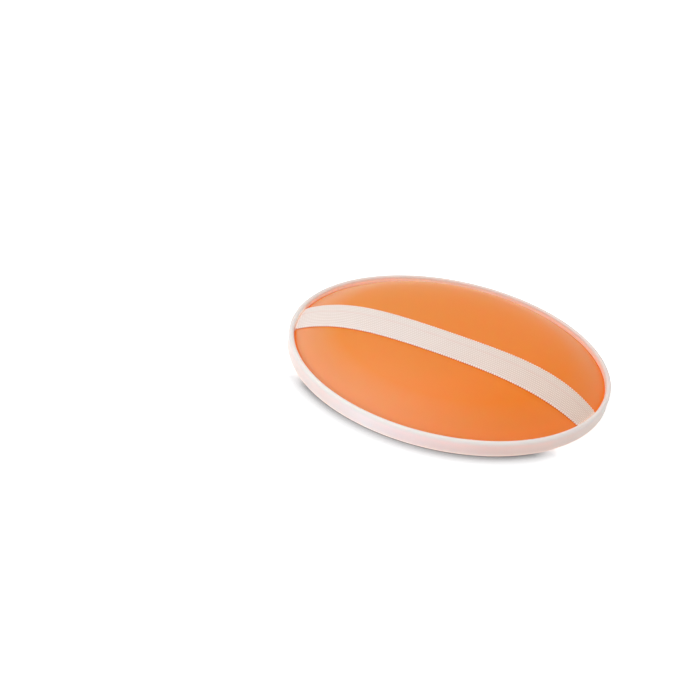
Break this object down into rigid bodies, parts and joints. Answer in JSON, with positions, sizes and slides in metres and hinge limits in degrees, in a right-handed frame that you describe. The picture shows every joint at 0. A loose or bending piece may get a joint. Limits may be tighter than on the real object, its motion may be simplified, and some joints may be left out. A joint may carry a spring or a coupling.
{
  "type": "catch paddle",
  "caption": "Round catch paddle: domed plastic disc in a soft ring rim, hollow catching face in front, elastic hand strap across the back.",
  "frame": {"origin": "on the surface that the paddle lies on, below the centre of the rim, with the front edge of the rim down and the strap side up", "axes": "+Z out of the paddle's back, up as it lies; +X along the hand strap; +Y from the strap towards the wider free part of the dome"},
  "size_m": [0.1918, 0.1918, 0.0241],
  "materials": {
    "rim": "milky, slightly translucent moulded soft plastic",
    "disc": "formed sheet, satin back and glossy front",
    "strap": "ribbed woven elastic with beaded edges"
  },
  "bodies": {
    "root": {"rim": "rim", "catch_disc": "disc", "hand_strap": "strap"}
  },
  "joints": []
}
